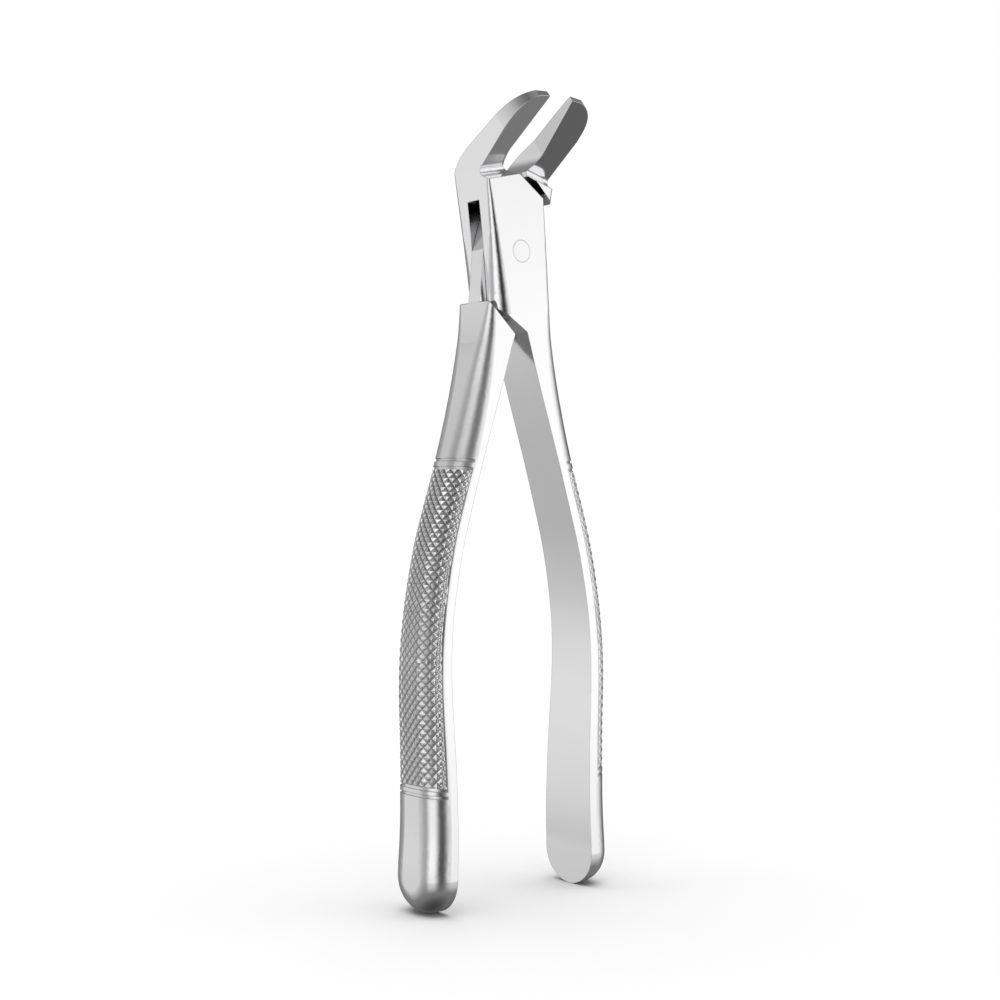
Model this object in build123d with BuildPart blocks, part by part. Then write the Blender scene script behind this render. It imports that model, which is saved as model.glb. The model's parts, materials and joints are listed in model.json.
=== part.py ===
"""Dental extraction forceps for lower teeth: two box-jointed arms and their riveted pin.

Millimetres, +Z up, X is the opening direction, Y is the pin's axis (the beaks lean to -Y).
Each arm is drawn in its closed position around the pin and stands turned by half the opening angle.
In these drawings x runs across the arms, z along them, both measured from the pin, and y is the depth.
"""
import os
from math import cos, radians, sin

from build123d import *

os.makedirs("parts", exist_ok=True)

COS45 = 2**-0.5
FAR = 60                      # cuts this long pass right through the part

# ---- the joint ---------------------------------------------------------------------------------
PIN_Y, PIN_Z = 5.38, 135.0     # where the pin's middle stands in the part's frame
OPEN_EACH = 5.0               # each arm stands this many degrees away from closed
PIN_R = 2.3
BORE_PLAY = 0.05              # radial running clearance of the male arm on the pin
BOX_HALF = 5.5                # half depth of the box, front face to middle
BOX_X = 7.3                   # half width of the box
SLOT_HALF = 1.9               # half width of the slot the tongue runs in
TONGUE_HALF = 1.84
TONGUE_R = 10.1               # the tongue's hidden corners clear this circle
WEB_Z = 10.8                  # the slot's ceiling on the left, its floor on the right
BOX_LEFT_Z = -11.3            # lower end of the box's left side
WEB_X = 0.45                  # half of the slit between the arms when closed
CROTCH = (0.15, -16.8)        # where the female arm's lower edge meets its handle
SHOULDER = [(0.15, -17.45), (6.3, -12.75)]     # the male arm's upper edge, from the same corner outwards
SLOT_FOOT = -17.9             # the slot's floor under the crotch
TONGUE_FLAT = 5.4             # the tongue's clearance arcs end this far from the middle
TONGUE_TOP = 17.4             # the tongue runs up into the male arm's head
TONGUE_ROOT = [(WEB_X, -18.6), (3.0, -19.0), (5.6, -14.0)]     # and down into its shoulder
PLATE_TOP = (0.97, 6.95, 11.06)   # the plate's diagonal: x at its top, x and z at its lower end
HEAD_GAP = 0.75               # the male head stands this far off the plate's diagonal
HEAD_FOOT = (1.6, 18.8)       # corner where the underside of the male head turns up: x, z
BLOCK_TOP = 18.2              # the box's block ends here, above the throat's curve

# ---- the handles: z, inner face x, outer face x, half depth, radius of the outer corners --------
HANDLE = [
    (-6.0, -2.60, 7.30, 5.50, 1.00),
    (-11.5, -1.20, 7.30, 5.50, 1.25),
    (-18.0, 0.42, 7.85, 5.50, 2.40),
    (-24.4, 1.80, 8.85, 5.50, 3.35),
    (-33.7, 3.95, 10.45, 5.55, 4.15),
    (-43.9, 6.41, 12.50, 5.60, 4.60),
    (-54.0, 8.58, 14.80, 5.68, 4.60),
    (-64.0, 10.48, 16.70, 5.82, 4.60),
    (-77.0, 11.72, 17.75, 6.08, 4.50),
    (-89.0, 11.30, 17.55, 6.30, 4.50),
    (-104.0, 9.30, 15.70, 6.68, 4.60),
    (-118.0, 7.72, 14.15, 7.05, 4.70),
    (-128.8, 7.05, 13.55, 7.30, 4.70),
]
SHOULDER_Z = -11.5            # top of the male arm's shoulder; below it both arms swell sideways
NECK_Z = -20.0                # above this the arm is drawn with the box, below it as one lofted bar
STATIONS = [NECK_Z, -25, -31, -38, -46, -54, -62, -70, -78, -86, -94, -102, -110, -118, -124]
END_Z = -128.8                # the handle's round end turns about a line at this height
END_TILT = 4.0                # lean of the handle there, in degrees
GROOVES = [(-44.4, -45.0), (-46.1, -46.7), (-110.6, -111.2), (-112.05, -112.65)]
GRIP = (-46.7, -110.6)        # the knurled length, sunk so that the knurling ends flush
SINK = 0.30

# ---- the beaks: depth y and height z of the profile, then the outline in the beak's own plane ---
NOTCH = (-2.67, 17.40)        # bottom of the hollow above the box's front face
NOTCH_R = 1.0
NOTCH_RUN = (-7.0, 0.3, -1.0)     # the hollow falls off towards the outside
NOTCH_SLOPE = 0.55            # fall of its lower side towards the front
LEAN = 51.4                   # the beaks lean forward by this many degrees
TIP = (-17.75, 29.50)
BEAK_BACK = [(5.5, 16.6), (3.7, 19.5), (-0.3, 22.3), (-4.8, 24.6), (-9.4, 27.0), (-13.5, 29.0), (-16.9, 30.55)]
BEAK_TIP = (17.9, 0.44)       # inner corner of the tip: along the beak, x
BEAK_FRONT = [(-5.5, 18), (-20, 27), (-20, 29.2)]     # y, z, clear of the beak's lower face
BEAK_INNER = (3.6, 2.65)      # where the inner face meets the throat
BEAK_ROOT = (-3.9, 18.45)     # y and z of the line the outline is measured from
BEAK_OUTER = [(17.9, 2.65), (16.8, 5.10), (14.6, 6.75), (10.6, 7.72), (6.0, 8.05), (1.0, 8.35)]
THROAT = [(1.0, 15.87), (-1.1, 16.98), (-2.65, 20.5)]     # x, z of the arc between plate and beak
LEFT_EDGE = [(18.0, 0.40), (9.0, 1.00), (1.0, 1.80), (-6.0, 2.60), (-13.0, 3.40)]    # z, radius
HEAD_EDGE = [(18.0, 0.40), (15.5, 0.85), (13.0, 1.05), (8.0, 1.20)]
RIGHT_EDGE = [(12.5, 0.50), (4.0, 0.70), (-4.0, 0.95), (SHOULDER_Z, 1.25)]
BOX_FLARE = [(-30.0, 0.0), (4.0, 0.0), (11.0, 0.30), (17.0, 0.55), (34.0, 0.55)]


def between(rows, z, col):
    """Smooth value of one column of a table at height z."""
    rows = sorted(rows, key=lambda r: r[0])
    zs, vs = [r[0] for r in rows], [r[col] for r in rows]
    i = max(0, min(len(zs) - 2, sum(1 for s in zs if s <= z) - 1))
    h = zs[i + 1] - zs[i]
    t = (z - zs[i]) / h

    def slope(k):
        a, b = max(0, k - 1), min(len(zs) - 1, k + 1)
        return (vs[b] - vs[a]) / (zs[b] - zs[a])

    m0, m1 = slope(i) * h, slope(i + 1) * h
    return ((2 * t**3 - 3 * t**2 + 1) * vs[i] + (t**3 - 2 * t**2 + t) * m0
            + (3 * t**2 - 2 * t**3) * vs[i + 1] + (t**3 - t**2) * m1)


class Arm:
    """Planes and drawing helpers of one arm. side is +1 for the female arm, -1 for the male one."""

    def __init__(self, side):
        a = radians(OPEN_EACH) * side
        self.side = side
        self.pin = Vector(0, PIN_Y, PIN_Z)
        self.ex = Vector(cos(a), 0, sin(a))
        self.ez = Vector(-sin(a), 0, cos(a))
        self.front = Plane(self.pin, x_dir=self.ex, z_dir=(0, -1, 0))

    def at(self, x, y, z):
        return self.pin + self.ex * (self.side * x) + Vector(0, y, 0) + self.ez * z

    def level(self, z):
        """Plane across the arm at height z, local axes x and y."""
        return Plane(self.at(0, 0, z), x_dir=self.ex, z_dir=self.ez)

    def flank(self, x):
        """Plane along the arm, local axes y and z, standing at x."""
        return Plane(self.at(x, 0, 0), x_dir=(0, 1, 0), z_dir=self.ex)

    def xz(self, points):
        return [(self.side * x, z) for x, z in points]


def outline(arm, points, half):
    """Solid with the given outline, seen from the front."""
    with BuildPart() as block:
        with BuildSketch(arm.front.offset(half)):
            with BuildLine():
                Polyline(arm.xz(points), close=True)
            make_face()
        extrude(amount=-2 * half)
    return block.part


def d_section(arm, z, inner, outer, half, r):
    """Flat inner face, flat front and back, rounded outer corners."""
    s, c = arm.side, r * (1 - COS45)
    with BuildSketch(arm.level(z)) as section:
        with BuildLine():
            Polyline((s * (outer - r), half), (s * inner, half), (s * inner, -half), (s * (outer - r), -half))
            ThreePointArc((s * (outer - r), -half), (s * (outer - c), -(half - c)), (s * outer, -(half - r)))
            Line((s * outer, -(half - r)), (s * outer, half - r))
            ThreePointArc((s * outer, half - r), (s * (outer - c), half - c), (s * (outer - r), half))
        make_face()
    return section.sketch


def handle_bar(arm, sink=0.0, deeper=0.0, wider=0.0, radius=0.0):
    """One handle with its round end; the extras make the core that is left under the sunk lengths."""
    inner, outer, half, r = [between(HANDLE, END_Z, k) for k in (1, 2, 3, 4)]
    r, half, outer, inner = r + radius, half + deeper, outer - sink, inner - wider
    tilt = radians(END_TILT)
    middle = arm.at(inner, 0, END_Z)
    across = arm.ex * (arm.side * cos(tilt)) - arm.ez * sin(tilt)
    down = arm.ex * (-arm.side * sin(tilt)) - arm.ez * cos(tilt)
    thick, c = outer - inner, r * (1 - COS45)
    end_plane = Plane(middle, x_dir=across, z_dir=-down)
    k = arm.side
    with BuildPart() as bar:
        for z in STATIONS:
            row = [between(HANDLE, z, col) for col in (1, 2, 3, 4)]
            add(d_section(arm, z, row[0] - wider, row[1] - sink, row[2] + deeper, row[3] + radius))
        with BuildSketch(end_plane):
            with BuildLine():
                Polyline((thick - r, k * half), (0, k * half), (0, -k * half), (thick - r, -k * half))
                ThreePointArc((thick - r, -k * half), (thick - c, -k * (half - c)), (thick, -k * (half - r)))
                Line((thick, -k * (half - r)), (thick, k * (half - r)))
                ThreePointArc((thick, k * (half - r)), (thick - c, k * (half - c)), (thick - r, k * half))
            make_face()
        loft()
        with BuildSketch(end_plane):
            with BuildLine():
                Polyline((thick, 0), (0, 0), (0, half), (thick - r, half))
                ThreePointArc((thick - r, half), (thick - c, half - c), (thick, half - r))
                Line((thick, half - r), (thick, 0))
            make_face()
        revolve(axis=Axis(middle, across), revolution_arc=-180)
    return bar.part


def ring_cutter(arm):
    """Everything outside the sunk outline, over the grooves and the grip."""
    with BuildPart() as cutter:
        for top, bottom in GROOVES + [GRIP]:
            with BuildSketch(arm.level(bottom)):
                Rectangle(60, 30)
            extrude(amount=top - bottom)
        add(handle_bar(arm, sink=SINK, deeper=0.1, wider=6.0, radius=0.3), mode=Mode.SUBTRACT)
    return cutter.part


def edge_cutter(arm, x_of, rows, front=True):
    """Rounds a long edge with a radius that changes along it. rows: z, radius."""
    k = -1 if front else 1
    with BuildPart() as cutter:
        for z, r in rows:
            x, half, c = x_of(z), BOX_HALF, r * (1 - COS45)
            s = arm.side * (1 if x > 0 else -1)
            x = abs(x)
            with BuildSketch(arm.level(z)):
                with BuildLine():
                    ThreePointArc((s * x, k * (half - r)), (s * (x - c), k * (half - c)), (s * (x - r), k * half))
                    Polyline((s * (x - r), k * half), (s * (x - r), k * (half + 2)), (s * (x + 2), k * (half + 2)),
                             (s * (x + 2), k * (half - r)), (s * x, k * (half - r)))
                make_face()
        loft()
    return cutter.part


def box_side(z):
    return BOX_X + between(BOX_FLARE, z, 1)


def neck(arm, top, points):
    """The swelling length between the joint and the handle, trimmed to the outline in points."""
    with BuildPart() as block:
        for z in (top, -14.0, -17.0, NECK_Z):
            outer, half, r = [between(HANDLE, z, col) for col in (2, 3, 4)]
            add(d_section(arm, z, -9.0, outer, half, r))
        loft()
        with BuildSketch(arm.front):
            with BuildLine():
                Polyline(arm.xz(points), close=True)
            make_face()
        extrude(amount=FAR, both=True, mode=Mode.INTERSECT)
    return block.part


def beak_plan(arm):
    """Plane of the beak's lower face, local axes x and along the beak."""
    lean = radians(LEAN)
    along = Vector(0, -sin(lean), 0) + arm.ez * cos(lean)
    return Plane(arm.at(0, *BEAK_ROOT), x_dir=arm.ex, z_dir=arm.ex.cross(along))


def beak(arm, bottom):
    """The beak and its root. It stands on the side opposite to its handle."""
    plan = beak_plan(arm)
    outer = arm.xz([(-x, s) for s, x in BEAK_OUTER])
    (tip_s, tip_x), (inner_s, inner_x) = BEAK_TIP, BEAK_INNER
    sides = arm.xz([(-box_side(z), z) for z in (bottom, 13, 15, 17)])
    with BuildPart() as block:
        with BuildSketch(arm.flank(0)):
            with BuildLine():
                Polyline((BOX_HALF, BEAK_BACK[0][1]), (BOX_HALF, bottom), (-BOX_HALF, bottom), *BEAK_FRONT, TIP, BEAK_BACK[-1])
                Spline([BEAK_BACK[-1]] + BEAK_BACK[-2::-1])
            make_face()
        extrude(amount=-arm.side * FAR)
        with BuildSketch(arm.front):
            with BuildLine():
                Spline(sides, tangents=[(0, 1), (0, 1)])
                Polyline([sides[-1]] + arm.xz([(-box_side(34), 34), (-WEB_X, 34), (-WEB_X, bottom)]) + [sides[0]])
            make_face()
        extrude(amount=FAR, both=True, mode=Mode.INTERSECT)
        with BuildSketch(plan):
            with BuildLine():
                Spline(outer)
                Polyline([outer[-1]] + arm.xz([(-9.8, -6), (-9.8, -30), (2, -30), (2, inner_s - 0.2),
                                               (-inner_x, inner_s), (-tip_x, tip_s)]) + [outer[0]])
            make_face()
        extrude(amount=FAR, both=True, mode=Mode.INTERSECT)
    return block.part


def throat(arm):
    """Cutter of the curved opening between the beak's inner face and the top of the box."""
    (inner_s, inner_x), (x_top, z_top) = BEAK_INNER, THROAT[-1]
    with BuildPart() as cutter:
        with BuildSketch(arm.front):
            with BuildLine():
                ThreePointArc(*arm.xz(THROAT))
                Polyline(arm.xz([THROAT[-1], (x_top, 34), (6, 34), (6, THROAT[0][1]), THROAT[0]]))
            make_face()
        extrude(amount=FAR, both=True)
        with BuildSketch(beak_plan(arm)):
            with BuildLine():
                Polyline(arm.xz([(9, inner_s), (-9, inner_s), (-9, -40), (9, -40)]), close=True)
            make_face()
        extrude(amount=FAR, both=True, mode=Mode.INTERSECT)
    return cutter.part


def hollow(arm):
    """Cutter of the hollow between the box's front face and the beak's lower face."""
    lean = radians(LEAN)
    ny, nz = NOTCH
    up = (ny - 30 * sin(lean), nz + 30 * cos(lean))
    down = (ny - 12, nz - 12 * NOTCH_SLOPE)
    run = arm.ex * (arm.side * NOTCH_RUN[0]) + Vector(0, NOTCH_RUN[1], 0) + arm.ez * NOTCH_RUN[2]
    start = arm.flank(0).origin - run * (3.0 / 7.0)
    with BuildPart() as cutter:
        with BuildSketch(Plane(start, x_dir=(0, 1, 0), z_dir=arm.ex)) as section:
            with BuildLine():
                Polyline((ny, nz), up, down, (ny, nz))
            make_face()
            fillet(section.vertices().sort_by(Axis.X)[-1], NOTCH_R)
        extrude(amount=run.length * 2.0, dir=run.normalized())
    return cutter.part


female, male = Arm(1), Arm(-1)
top_x, low_x, low_z = PLATE_TOP
top_z = THROAT[0][1]

# ---- female arm ----------------------------------------------------------------------------------
neck_in = between(HANDLE, NECK_Z, 1)
crotch_x = -BOX_X + (CROTCH[0] + BOX_X) * (BOX_LEFT_Z - SHOULDER_Z) / (BOX_LEFT_Z - CROTCH[1])
box_outline = [(-BOX_X, BOX_LEFT_Z), (-BOX_X, 4), (-box_side(WEB_Z), WEB_Z), (-WEB_X, WEB_Z), (-WEB_X, BLOCK_TOP),
               (top_x, BLOCK_TOP), (top_x, top_z), (low_x, low_z), (BOX_X, low_z - 0.4), (BOX_X, SHOULDER_Z),
               (crotch_x, SHOULDER_Z)]
female_neck = neck(female, SHOULDER_Z, [(crotch_x, SHOULDER_Z), CROTCH, (neck_in, NECK_Z), (12, NECK_Z),
                                        (12, SHOULDER_Z)])
female_bar, female_rings = handle_bar(female), ring_cutter(female)
female_beak, female_hollow = beak(female, WEB_Z), hollow(female)
female_edges = [edge_cutter(female, lambda z: -box_side(z), LEFT_EDGE, f) for f in (True, False)]
female_edges += [edge_cutter(female, lambda z: BOX_X, RIGHT_EDGE, f) for f in (True, False)]

with BuildPart() as female_arm:
    add(outline(female, box_outline, BOX_HALF))
    for cutter in female_edges[2:]:
        add(cutter, mode=Mode.SUBTRACT)
    add(female_neck)
    with BuildSketch(female.front.offset(SLOT_HALF)):
        with BuildLine():
            Polyline((-12, WEB_Z), (-WEB_X, WEB_Z), (-WEB_X, 25), (12, 25), (12, -WEB_Z), (WEB_X, -WEB_Z),
                     (WEB_X, SLOT_FOOT), (-12, SLOT_FOOT), close=True)
        make_face()
    extrude(amount=-2 * SLOT_HALF, mode=Mode.SUBTRACT)
    add(female_beak)
    add(female_hollow, mode=Mode.SUBTRACT)
    add(throat(female), mode=Mode.SUBTRACT)
    for cutter in female_edges[:2]:
        add(cutter, mode=Mode.SUBTRACT)
    add(female_bar)
    add(female_rings, mode=Mode.SUBTRACT)
    with BuildSketch(female.front):
        Circle(PIN_R)
    extrude(amount=FAR, both=True, mode=Mode.SUBTRACT)
female_arm.part.label = "female_arm"
export_step(female_arm.part, "parts/female_arm.step")

# ---- male arm ------------------------------------------------------------------------------------
slope = (top_z - low_z) / (low_x - top_x)
off = HEAD_GAP * (1 + slope**2) ** 0.5
foot_x, foot_z = HEAD_FOOT
under_head = [(-low_x - 3, low_z + off - 3 * slope), (-foot_x, top_z + off - slope * (foot_x - top_x)),
              (-foot_x, foot_z), (0, foot_z), (0, 0), (-low_x - 3, 0)]
male_bar, male_rings = handle_bar(male), ring_cutter(male)
male_under_head = outline(male, under_head, 12)
male_beak, male_hollow = beak(male, low_z - 1.5), hollow(male)
male_neck = neck(male, -9.0, [*SHOULDER, (BOX_X, SHOULDER_Z), (12, -5.6), (12, NECK_Z),
                              (neck_in, NECK_Z)])
head_edges = [edge_cutter(male, lambda z: -box_side(z), HEAD_EDGE, f) for f in (True, False)]

with BuildPart() as male_top:
    add(male_beak)
    add(male_under_head, mode=Mode.SUBTRACT)
    add(male_hollow, mode=Mode.SUBTRACT)
    for cutter in head_edges:
        add(cutter, mode=Mode.SUBTRACT)

with BuildPart() as male_arm:
    add(male_neck)
    add(male_bar)
    add(male_top.part)
    with BuildSketch(male.front.offset(TONGUE_HALF)):
        with BuildLine():
            t, c = TONGUE_FLAT, (TONGUE_R**2 - TONGUE_FLAT**2) ** 0.5
            arc_x, arc_z = TONGUE_R * sin(radians(15)), TONGUE_R * cos(radians(15))
            w, v = WEB_X, (TONGUE_R**2 - WEB_X**2) ** 0.5
            Polyline(male.xz([(BOX_X, SHOULDER_Z), (BOX_X, -0.5), (t, c)]))
            ThreePointArc(*male.xz([(t, c), (arc_x, arc_z), (-w, v)]))
            Polyline(male.xz([(-w, v), (-w, TONGUE_TOP), (-BOX_X, TONGUE_TOP), (-BOX_X, 0.5), (-t, -c)]))
            ThreePointArc(*male.xz([(-t, -c), (-arc_x, -arc_z), (w, -v)]))
            Polyline(male.xz([(w, -v), *TONGUE_ROOT, (BOX_X, SHOULDER_Z)]))
        make_face()
    extrude(amount=-2 * TONGUE_HALF)
    add(throat(male), mode=Mode.SUBTRACT)
    add(male_rings, mode=Mode.SUBTRACT)
    with BuildSketch(male.front):
        Circle(PIN_R + BORE_PLAY)
    extrude(amount=FAR, both=True, mode=Mode.SUBTRACT)
male_arm.part.label = "male_arm"
export_step(male_arm.part, "parts/male_arm.step")

# ---- joint pin -----------------------------------------------------------------------------------
with BuildPart() as joint_pin:
    with BuildSketch(female.front.offset(BOX_HALF)):
        Circle(PIN_R)
    extrude(amount=-2 * BOX_HALF)
joint_pin.part.label = "joint_pin"
export_step(joint_pin.part, "parts/joint_pin.step")
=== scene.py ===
"""Looks of the extraction forceps: polished stainless steel with knurled grips."""
import json
from math import asin, cos, floor, radians, sin

import bpy
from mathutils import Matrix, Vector
from mathutils.bvhtree import BVHTree


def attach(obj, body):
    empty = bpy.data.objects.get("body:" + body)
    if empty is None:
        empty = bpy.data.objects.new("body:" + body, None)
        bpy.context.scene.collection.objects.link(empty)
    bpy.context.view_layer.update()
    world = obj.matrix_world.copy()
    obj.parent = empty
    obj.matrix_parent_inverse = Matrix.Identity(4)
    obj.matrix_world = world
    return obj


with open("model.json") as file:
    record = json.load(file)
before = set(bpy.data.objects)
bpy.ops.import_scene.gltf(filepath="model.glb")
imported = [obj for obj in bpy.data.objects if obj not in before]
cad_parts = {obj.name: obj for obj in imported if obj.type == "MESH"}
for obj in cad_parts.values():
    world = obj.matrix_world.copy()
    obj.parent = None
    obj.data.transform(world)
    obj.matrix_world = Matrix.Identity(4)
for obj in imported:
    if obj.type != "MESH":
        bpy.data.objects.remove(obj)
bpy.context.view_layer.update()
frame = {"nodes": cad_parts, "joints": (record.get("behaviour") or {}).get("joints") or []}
PIN = Vector(frame["joints"][0]["pos_m"])
DEEP = Vector((0, 1, 0))       # from the front of the forceps to its back

# ---- camera: left of the front, level, looking at the middle of the forceps ----------------------
CAMERA_AZIMUTH = radians(40)
CAMERA_DISTANCE = 0.3337
CAMERA_TARGET = PIN + Vector((-0.0005, 0.0009, -0.0517))
CAMERA_LENS = 57.06
CAMERA_SENSOR = 36.0

# ---- floor and light -----------------------------------------------------------------------------
FLOOR_HALF = 4.0
FLOOR_COLOUR = (0.93, 0.93, 0.93, 1)
FLOOR_ROUGHNESS = 0.9
SUN_STRENGTH = 2.5
SUN_WIDTH = radians(70)

# ---- the surroundings the steel reflects ---------------------------------------------------------
# Greys round the horizon, by degrees from the front towards the left.
AROUND = [(-180, 0.25), (-140, 0.10), (-100, 0.10), (-75, 0.60), (-55, 1.15), (-38, 1.20), (-20, 0.80),
          (-5, 0.22), (10, 0.02), (22, 0.06), (31, 0.32), (42, 0.85), (52, 1.15), (72, 1.15), (82, 0.80),
          (92, 0.42), (105, 0.45), (120, 0.60), (134, 0.84), (146, 0.86), (156, 0.45), (168, 0.28),
          (180, 0.25)]
# Greys below and above, by the height of the direction's unit vector.
UP_DOWN = [(-1.0, 0.06), (-0.74, 0.20), (-0.30, 0.22), (0.0, 0.70), (0.35, 0.50), (0.60, 0.27),
           (0.85, 0.15), (1.0, 0.30)]
LEVEL_BAND = (0.05, 0.65)      # heights between which the first list gives way to the second
MIX_A, MIX_B, MIX_OUT = 6, 7, 2            # the colour sockets of a Mix node

# ---- steel: lengths in metres, the rest from 0 to 1 ----------------------------------------------
CLOUD_SCALE, CLOUD_DETAIL = 70.0, 6.0      # slow changes of sheen and tone
GRAIN_SCALE, GRAIN_DETAIL = 6000.0, 3.0    # fine brushing
GRAIN_STRETCH = (1.0, 1.0, 0.04)           # drawn out along the handles
GRAIN_DEPTH = 0.000004
NOISE_BAND = (0.3, 0.7)                    # the part of a noise's range that is used
CLOUD_SHEEN = (-0.02, 0.03)                # what the clouds add to the roughness
CLOUD_TONE = (-0.015, 0.015)               # and to the grey
GRAIN_SHEEN = (-0.01, 0.02)
EDGE_BAND = (0.99, 0.75)                   # softened normal against true normal: from flat to edge
EDGE_ROUGHER, EDGE_WEAR_AND_HIGHLIGHT = 0.10, 0.05    # wear roughens the edges; their lighter colour is wear and a painted highlight
# painted shade: ambient occlusion darkens the steel's colour in crevices and gaps between parts
CREVICE_SHADE_REACH = 0.006
CREVICE_SHADE_BAND, CREVICE_SHADE_TONE = (0.05, 0.45), (0.04, 1)
# painted shade: the knurling's colour darkens towards the bottom of its grooves
GROOVE_SHADE_BAND, GROOVE_SHADE_TONE = (0, 0.40), (0.18, 1)
BLUER = 1.01
ARM_SOFTENING, GRIP_SOFTENING = 0.00022, 0.00006    # radius of the softened edges

# ---- the grips, measured from the pin along each arm, in metres ----------------------------------
GRIP_TOP, GRIP_BOTTOM = -0.0467, -0.1106
END_MARGIN = 0.00002           # sections stay this far inside the grip's ends
ARM_TURN = radians(5)          # each arm stands this far from the middle
CORNER = 0.0046                # radius of the handle's outer corners along the grip
SINK = 0.0003                  # depth of the grip's bed, which the knurling fills
BED_IN, BED_ASIDE = 0.0006, 0.0002         # the bed's corner: how far its centre lies from CORNER's
BED_ROUNDER = 0.0003           # and how much larger its radius is
RUN_OUT = 79                   # degrees round the corner at which the bed ends
PROBE = 0.04                   # rays onto the outer side start this far from the arm's axis
RAYS, RAY_STEP = 48, 2         # rays on each side of a section's middle, degrees between them

# ---- the diamonds --------------------------------------------------------------------------------
CELL_WIDE, CELL_LONG = 0.0018, 0.0019
CELLS_ASIDE = 6                # columns of diamonds on each side of the middle
STEPS = 6                      # mesh steps per diamond
PYRAMID = 0.85                 # below 1, the grooves are steeper than the peaks
CLEAR = 0.00001                # least distance to the bed and to the handle's own outline
SKIRT = 0.00006                # how far the relief's rim is buried


def add_camera():
    data = bpy.data.cameras.new("camera")
    data.lens = CAMERA_LENS
    data.sensor_width = CAMERA_SENSOR
    cam = bpy.data.objects.new("camera", data)
    bpy.context.scene.collection.objects.link(cam)
    away = Vector((-sin(CAMERA_AZIMUTH), -cos(CAMERA_AZIMUTH), 0))
    cam.location = CAMERA_TARGET + away * CAMERA_DISTANCE
    cam.rotation_euler = (-away).to_track_quat("-Z", "Y").to_euler()
    bpy.context.scene.camera = cam


def add_floor():
    mesh = bpy.data.meshes.new("floor")
    corners = [(-FLOOR_HALF, -FLOOR_HALF, 0), (FLOOR_HALF, -FLOOR_HALF, 0),
               (FLOOR_HALF, FLOOR_HALF, 0), (-FLOOR_HALF, FLOOR_HALF, 0)]
    mesh.from_pydata(corners, [], [(0, 1, 2, 3)])
    floor_obj = bpy.data.objects.new("floor", mesh)
    bpy.context.scene.collection.objects.link(floor_obj)
    mat = bpy.data.materials.new("floor_pale")
    mat.use_nodes = True
    bsdf = mat.node_tree.nodes["Principled BSDF"]
    bsdf.inputs["Base Color"].default_value = FLOOR_COLOUR
    bsdf.inputs["Roughness"].default_value = FLOOR_ROUGHNESS
    bsdf.inputs["Specular IOR Level"].default_value = 0.0
    mesh.materials.append(mat)
    floor_obj.visible_glossy = False


def add_sun():
    """Wide light from straight above, which the steel doesn't mirror."""
    data = bpy.data.lights.new("overhead", "SUN")
    data.energy = SUN_STRENGTH
    data.angle = SUN_WIDTH
    light = bpy.data.objects.new("overhead", data)
    light.location = (0, 0, 1)
    light.visible_glossy = False
    bpy.context.scene.collection.objects.link(light)


# ---- node helpers --------------------------------------------------------------------------------
def new_node(tree, kind, **settings):
    node = tree.nodes.new(kind)
    for key, value in settings.items():
        setattr(node, key, value)
    return node


def math_node(tree, operation, first, second=None):
    node = new_node(tree, "ShaderNodeMath", operation=operation)
    for socket, value in zip(node.inputs, (first, second)):
        if isinstance(value, (int, float)):
            socket.default_value = value
        elif value is not None:
            tree.links.new(value, socket)
    return node.outputs[0]


def add(tree, first, second):
    return math_node(tree, "ADD", first, second)


def multiply(tree, first, second):
    return math_node(tree, "MULTIPLY", first, second)


def remap(tree, value, from_range, to_range):
    node = new_node(tree, "ShaderNodeMapRange")
    tree.links.new(value, node.inputs["Value"])
    node.inputs["From Min"].default_value, node.inputs["From Max"].default_value = from_range
    node.inputs["To Min"].default_value, node.inputs["To Max"].default_value = to_range
    return node.outputs["Result"]


def spread(value, change):
    """The range that lies round a value."""
    return value + change[0], value + change[1]


def noise(tree, place, scale, detail):
    node = new_node(tree, "ShaderNodeTexNoise")
    node.inputs["Scale"].default_value = scale
    node.inputs["Detail"].default_value = detail
    tree.links.new(place, node.inputs["Vector"])
    return node.outputs["Fac"]


def ramp(tree, value, stops):
    node = new_node(tree, "ShaderNodeValToRGB")
    elements = node.color_ramp.elements
    while len(elements) < len(stops):
        elements.new(0.5)
    for element, (place, grey) in zip(elements, stops):
        element.position = place
        element.color = (grey, grey, grey, 1)
    tree.links.new(value, node.inputs["Fac"])
    return node.outputs["Color"]


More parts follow.
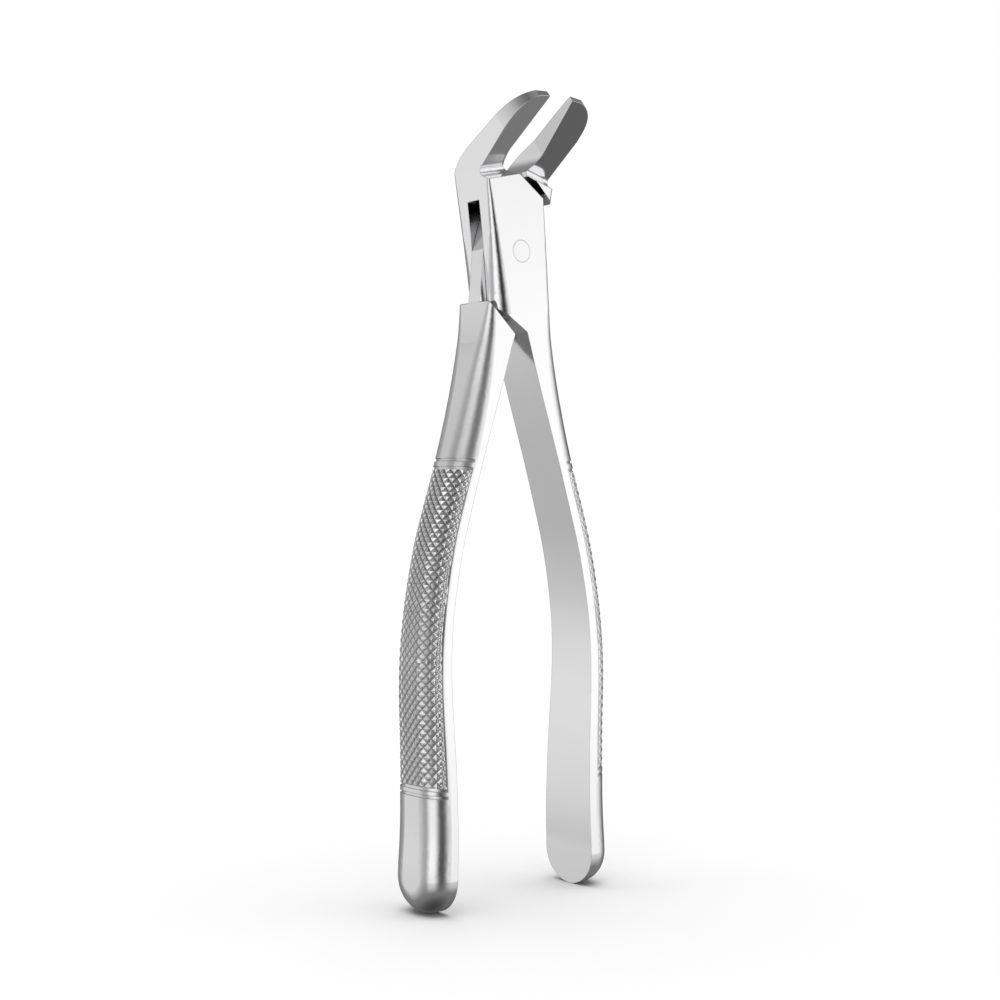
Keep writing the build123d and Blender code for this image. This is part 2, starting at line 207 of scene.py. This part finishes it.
def add_world():
    """Soft panels round the object, a dark strip in front, dark below, plain white behind it all."""
    world = bpy.data.worlds.new("world")
    bpy.context.scene.world = world
    world.use_nodes = True
    tree = world.node_tree
    coords = new_node(tree, "ShaderNodeTexCoord")
    split = new_node(tree, "ShaderNodeSeparateXYZ")
    tree.links.new(coords.outputs["Generated"], split.inputs[0])
    x, y, z = split.outputs

    bearing = math_node(tree, "ARCTAN2", multiply(tree, x, -1.0), multiply(tree, y, -1.0))
    turn = remap(tree, bearing, (radians(-180), radians(180)), (0, 1))
    around = ramp(tree, turn, [((angle + 180) / 360, grey) for angle, grey in AROUND])
    rise = remap(tree, z, (-1, 1), (0, 1))
    above = ramp(tree, rise, [((height + 1) / 2, grey) for height, grey in UP_DOWN])
    share = remap(tree, math_node(tree, "ABSOLUTE", z), LEVEL_BAND, (0, 1))
    mix = new_node(tree, "ShaderNodeMix", data_type="RGBA")
    tree.links.new(share, mix.inputs["Factor"])
    tree.links.new(around, mix.inputs[MIX_A])
    tree.links.new(above, mix.inputs[MIX_B])
    panels = tree.nodes["Background"]
    tree.links.new(mix.outputs[MIX_OUT], panels.inputs["Color"])

    plain = new_node(tree, "ShaderNodeBackground")
    plain.inputs["Color"].default_value = (1, 1, 1, 1)
    seen = new_node(tree, "ShaderNodeLightPath")
    pick = new_node(tree, "ShaderNodeMixShader")
    tree.links.new(seen.outputs["Is Camera Ray"], pick.inputs["Fac"])
    tree.links.new(panels.outputs[0], pick.inputs[1])
    tree.links.new(plain.outputs[0], pick.inputs[2])
    tree.links.new(pick.outputs[0], tree.nodes["World Output"].inputs["Surface"])


# ---- steel ---------------------------------------------------------------------------------------
def steel(name, grey, rough, brush, soften=ARM_SOFTENING, shade_grooves=False):
    """Polished steel: faint brushing, cloudy sheen, soft and slightly worn edges lightened by a painted
    highlight, painted shade in crevices and, for knurling, in its grooves.
    """
    mat = bpy.data.materials.new(name)
    mat.use_nodes = True
    tree = mat.node_tree
    bsdf = tree.nodes["Principled BSDF"]
    bsdf.inputs["Metallic"].default_value = 1.0

    place = new_node(tree, "ShaderNodeTexCoord").outputs["Object"]
    cloud = noise(tree, place, CLOUD_SCALE, CLOUD_DETAIL)
    stretch = new_node(tree, "ShaderNodeMapping")
    stretch.inputs["Scale"].default_value = GRAIN_STRETCH
    tree.links.new(place, stretch.inputs["Vector"])
    grain = noise(tree, stretch.outputs["Vector"], GRAIN_SCALE, GRAIN_DETAIL)

    soft = new_node(tree, "ShaderNodeBevel", samples=4)
    soft.inputs["Radius"].default_value = soften
    flat = new_node(tree, "ShaderNodeNewGeometry")
    facing = new_node(tree, "ShaderNodeVectorMath", operation="DOT_PRODUCT")
    tree.links.new(soft.outputs["Normal"], facing.inputs[0])
    tree.links.new(flat.outputs["Normal"], facing.inputs[1])
    edge = remap(tree, facing.outputs["Value"], EDGE_BAND, (0, 1))

    bump = new_node(tree, "ShaderNodeBump")
    bump.inputs["Strength"].default_value = brush
    bump.inputs["Distance"].default_value = GRAIN_DEPTH
    tree.links.new(grain, bump.inputs["Height"])
    tree.links.new(soft.outputs["Normal"], bump.inputs["Normal"])
    tree.links.new(bump.outputs["Normal"], bsdf.inputs["Normal"])

    sheen = remap(tree, cloud, NOISE_BAND, spread(rough, CLOUD_SHEEN))
    fine = remap(tree, grain, NOISE_BAND, GRAIN_SHEEN)
    worn = multiply(tree, edge, EDGE_ROUGHER)
    tree.links.new(add(tree, add(tree, sheen, fine), worn), bsdf.inputs["Roughness"])

    tone = remap(tree, cloud, NOISE_BAND, spread(grey, CLOUD_TONE))
    # painted highlight with wear: the colour lightens along the edges
    tone = add(tree, tone, multiply(tree, edge, EDGE_WEAR_AND_HIGHLIGHT))
    # painted shade: ambient occlusion darkens the colour in crevices and gaps
    crevice_shade = new_node(tree, "ShaderNodeAmbientOcclusion", samples=8)
    crevice_shade.inputs["Distance"].default_value = CREVICE_SHADE_REACH
    tone = multiply(tree, tone, remap(tree, crevice_shade.outputs["AO"], CREVICE_SHADE_BAND, CREVICE_SHADE_TONE))
    # painted shade in the knurling's grooves: darker the lower the relief
    if shade_grooves:
        relief = new_node(tree, "ShaderNodeAttribute", attribute_name="relief")
        tone = multiply(tree, tone, remap(tree, relief.outputs["Fac"], GROOVE_SHADE_BAND, GROOVE_SHADE_TONE))
    colour = new_node(tree, "ShaderNodeCombineColor")
    tree.links.new(tone, colour.inputs[0])
    tree.links.new(tone, colour.inputs[1])
    tree.links.new(multiply(tree, tone, BLUER), colour.inputs[2])
    tree.links.new(colour.outputs[0], bsdf.inputs["Base Color"])
    return mat


def paint(obj, mat):
    obj.data.materials.clear()
    obj.data.materials.append(mat)


# ---- knurling ------------------------------------------------------------------------------------
def from_groove(value):
    """Distance from the nearest groove, 0.5 at a diamond's peak."""
    return abs(value - floor(value) - 0.5)


class Grip:
    """The sunk bed of one handle, followed by rays cast onto the CAD node."""

    def __init__(self, node, side):
        mesh = node.data
        self.tree = BVHTree.FromPolygons([v.co for v in mesh.vertices], [p.vertices for p in mesh.polygons])
        turn = ARM_TURN * side
        self.out = Vector((cos(turn), 0, sin(turn))) * side
        self.up = Vector((-sin(turn), 0, cos(turn)))

    def section(self, height):
        """Points round the bed at one height: distance along the surface, place, angle of its normal."""
        level = PIN + self.up * height
        outer = self.tree.ray_cast(level + self.out * PROBE, -self.out)[0]
        centre = outer - self.out * CORNER
        half = (self.tree.ray_cast(centre, DEEP)[0] - centre).length
        rows = []
        for step in range(-RAYS, RAYS + 1):
            angle = radians(RAY_STEP * step)
            spot = self.tree.ray_cast(centre, self.out * cos(angle) + DEEP * sin(angle))[0]
            across = (spot - centre).dot(DEEP)
            lean = asin(max(0.0, min(1.0, (abs(across) - half + CORNER) / CORNER)))
            if lean <= radians(RUN_OUT):
                rows.append([0.0, spot, lean if across > 0 else -lean])
        for before, after in zip(rows, rows[1:]):
            after[0] = before[0] + (after[1] - before[1]).length
        middle = rows[len(rows) // 2][0]
        return [(run - middle, spot, lean) for run, spot, lean in rows]

    def place(self, rows, run, height, buried):
        """One vertex of the relief: its place, its rise from groove to peak, whether it's off the bed."""
        clamped = not rows[0][0] < run < rows[-1][0]
        run = max(rows[0][0], min(rows[-1][0], run))
        index = max(i for i in range(len(rows) - 1) if rows[i][0] <= run)
        (low, spot_a, lean_a), (high, spot_b, lean_b) = rows[index], rows[index + 1]
        share = (run - low) / (high - low)
        spot = spot_a.lerp(spot_b, share)
        lean = lean_a + (lean_b - lean_a) * share
        normal = self.out * cos(lean) + DEEP * sin(lean)
        if buried or clamped:
            return spot - normal * SKIRT, 0.0, clamped
        room = min(SINK, BED_IN * cos(lean) + BED_ASIDE * abs(sin(lean)) - BED_ROUNDER)
        wide = run / CELL_WIDE
        long = (height - GRIP_TOP) / CELL_LONG
        rise = min(from_groove(wide + long), from_groove(wide - long)) * 2
        lift = max(CLEAR, min(room - CLEAR, SINK * rise ** PYRAMID))
        return spot + normal * lift, min(1.0, lift / max(room, 2 * CLEAR)), clamped


def quad_faces(columns, levels, risen, outside):
    """Two triangles for each quad of the grid, split along its grooves."""
    faces = []
    for row in range(levels - 1):
        for column in range(columns - 1):
            a = row * columns + column
            b = a + 1
            c = b + columns
            d = a + columns
            if outside[a] and outside[b] and outside[c] and outside[d]:
                continue
            if risen[a] + risen[c] <= risen[b] + risen[d]:
                faces += [(a, b, c), (a, c, d)]
            else:
                faces += [(a, b, d), (b, c, d)]
    return faces


def knurl(name, node, body, side, mat):
    """Diamond relief lying in the bed of one handle, flush with the steel round it."""
    grip = Grip(node, side)
    steps_down = round((GRIP_TOP - GRIP_BOTTOM) / CELL_LONG * STEPS)
    columns = range(-CELLS_ASIDE * STEPS, CELLS_ASIDE * STEPS + 1)
    heights = [GRIP_TOP + (GRIP_BOTTOM - GRIP_TOP) * i / steps_down for i in range(steps_down + 1)]
    levels = [(heights[0], True)] + [(height, False) for height in heights] + [(heights[-1], True)]
    points, risen, outside = [], [], []
    for height, buried in levels:
        rows = grip.section(max(GRIP_BOTTOM + END_MARGIN, min(GRIP_TOP - END_MARGIN, height)))
        for column in columns:
            point, rise, clamped = grip.place(rows, column * CELL_WIDE / STEPS, height, buried)
            points.append(point)
            risen.append(rise)
            outside.append(clamped)
    faces = quad_faces(len(columns), len(levels), risen, outside)
    mesh = bpy.data.meshes.new(name)
    mesh.from_pydata(points, [], faces)
    mesh.update()
    if mesh.polygons[len(faces) // 2].normal.dot(grip.out) < 0:
        mesh.flip_normals()
    # the rise from groove to peak, kept for the material's painted shade in the grooves
    relief = mesh.attributes.new("relief", "FLOAT", "POINT")
    relief.data.foreach_set("value", risen)
    obj = bpy.data.objects.new(name, mesh)
    bpy.context.scene.collection.objects.link(obj)
    paint(obj, mat)
    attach(obj, body)


# ---- the scene -----------------------------------------------------------------------------------
add_camera()
add_floor()
add_sun()
add_world()
arm_steel = steel("arm_steel", grey=0.86, rough=0.11, brush=0.10)
grip_steel = steel("grip_steel", grey=0.97, rough=0.09, brush=0.05, soften=GRIP_SOFTENING, shade_grooves=True)
pin_steel = steel("pin_steel", grey=0.85, rough=0.12, brush=0.10)
for name, node in frame["nodes"].items():
    paint(node, pin_steel if name == "joint_pin" else arm_steel)
knurl("female_knurling", frame["nodes"]["female_arm"], "female", 1, grip_steel)
knurl("male_knurling", frame["nodes"]["male_arm"], "male", -1, grip_steel)

bpy.context.scene.view_settings.view_transform = "Standard"
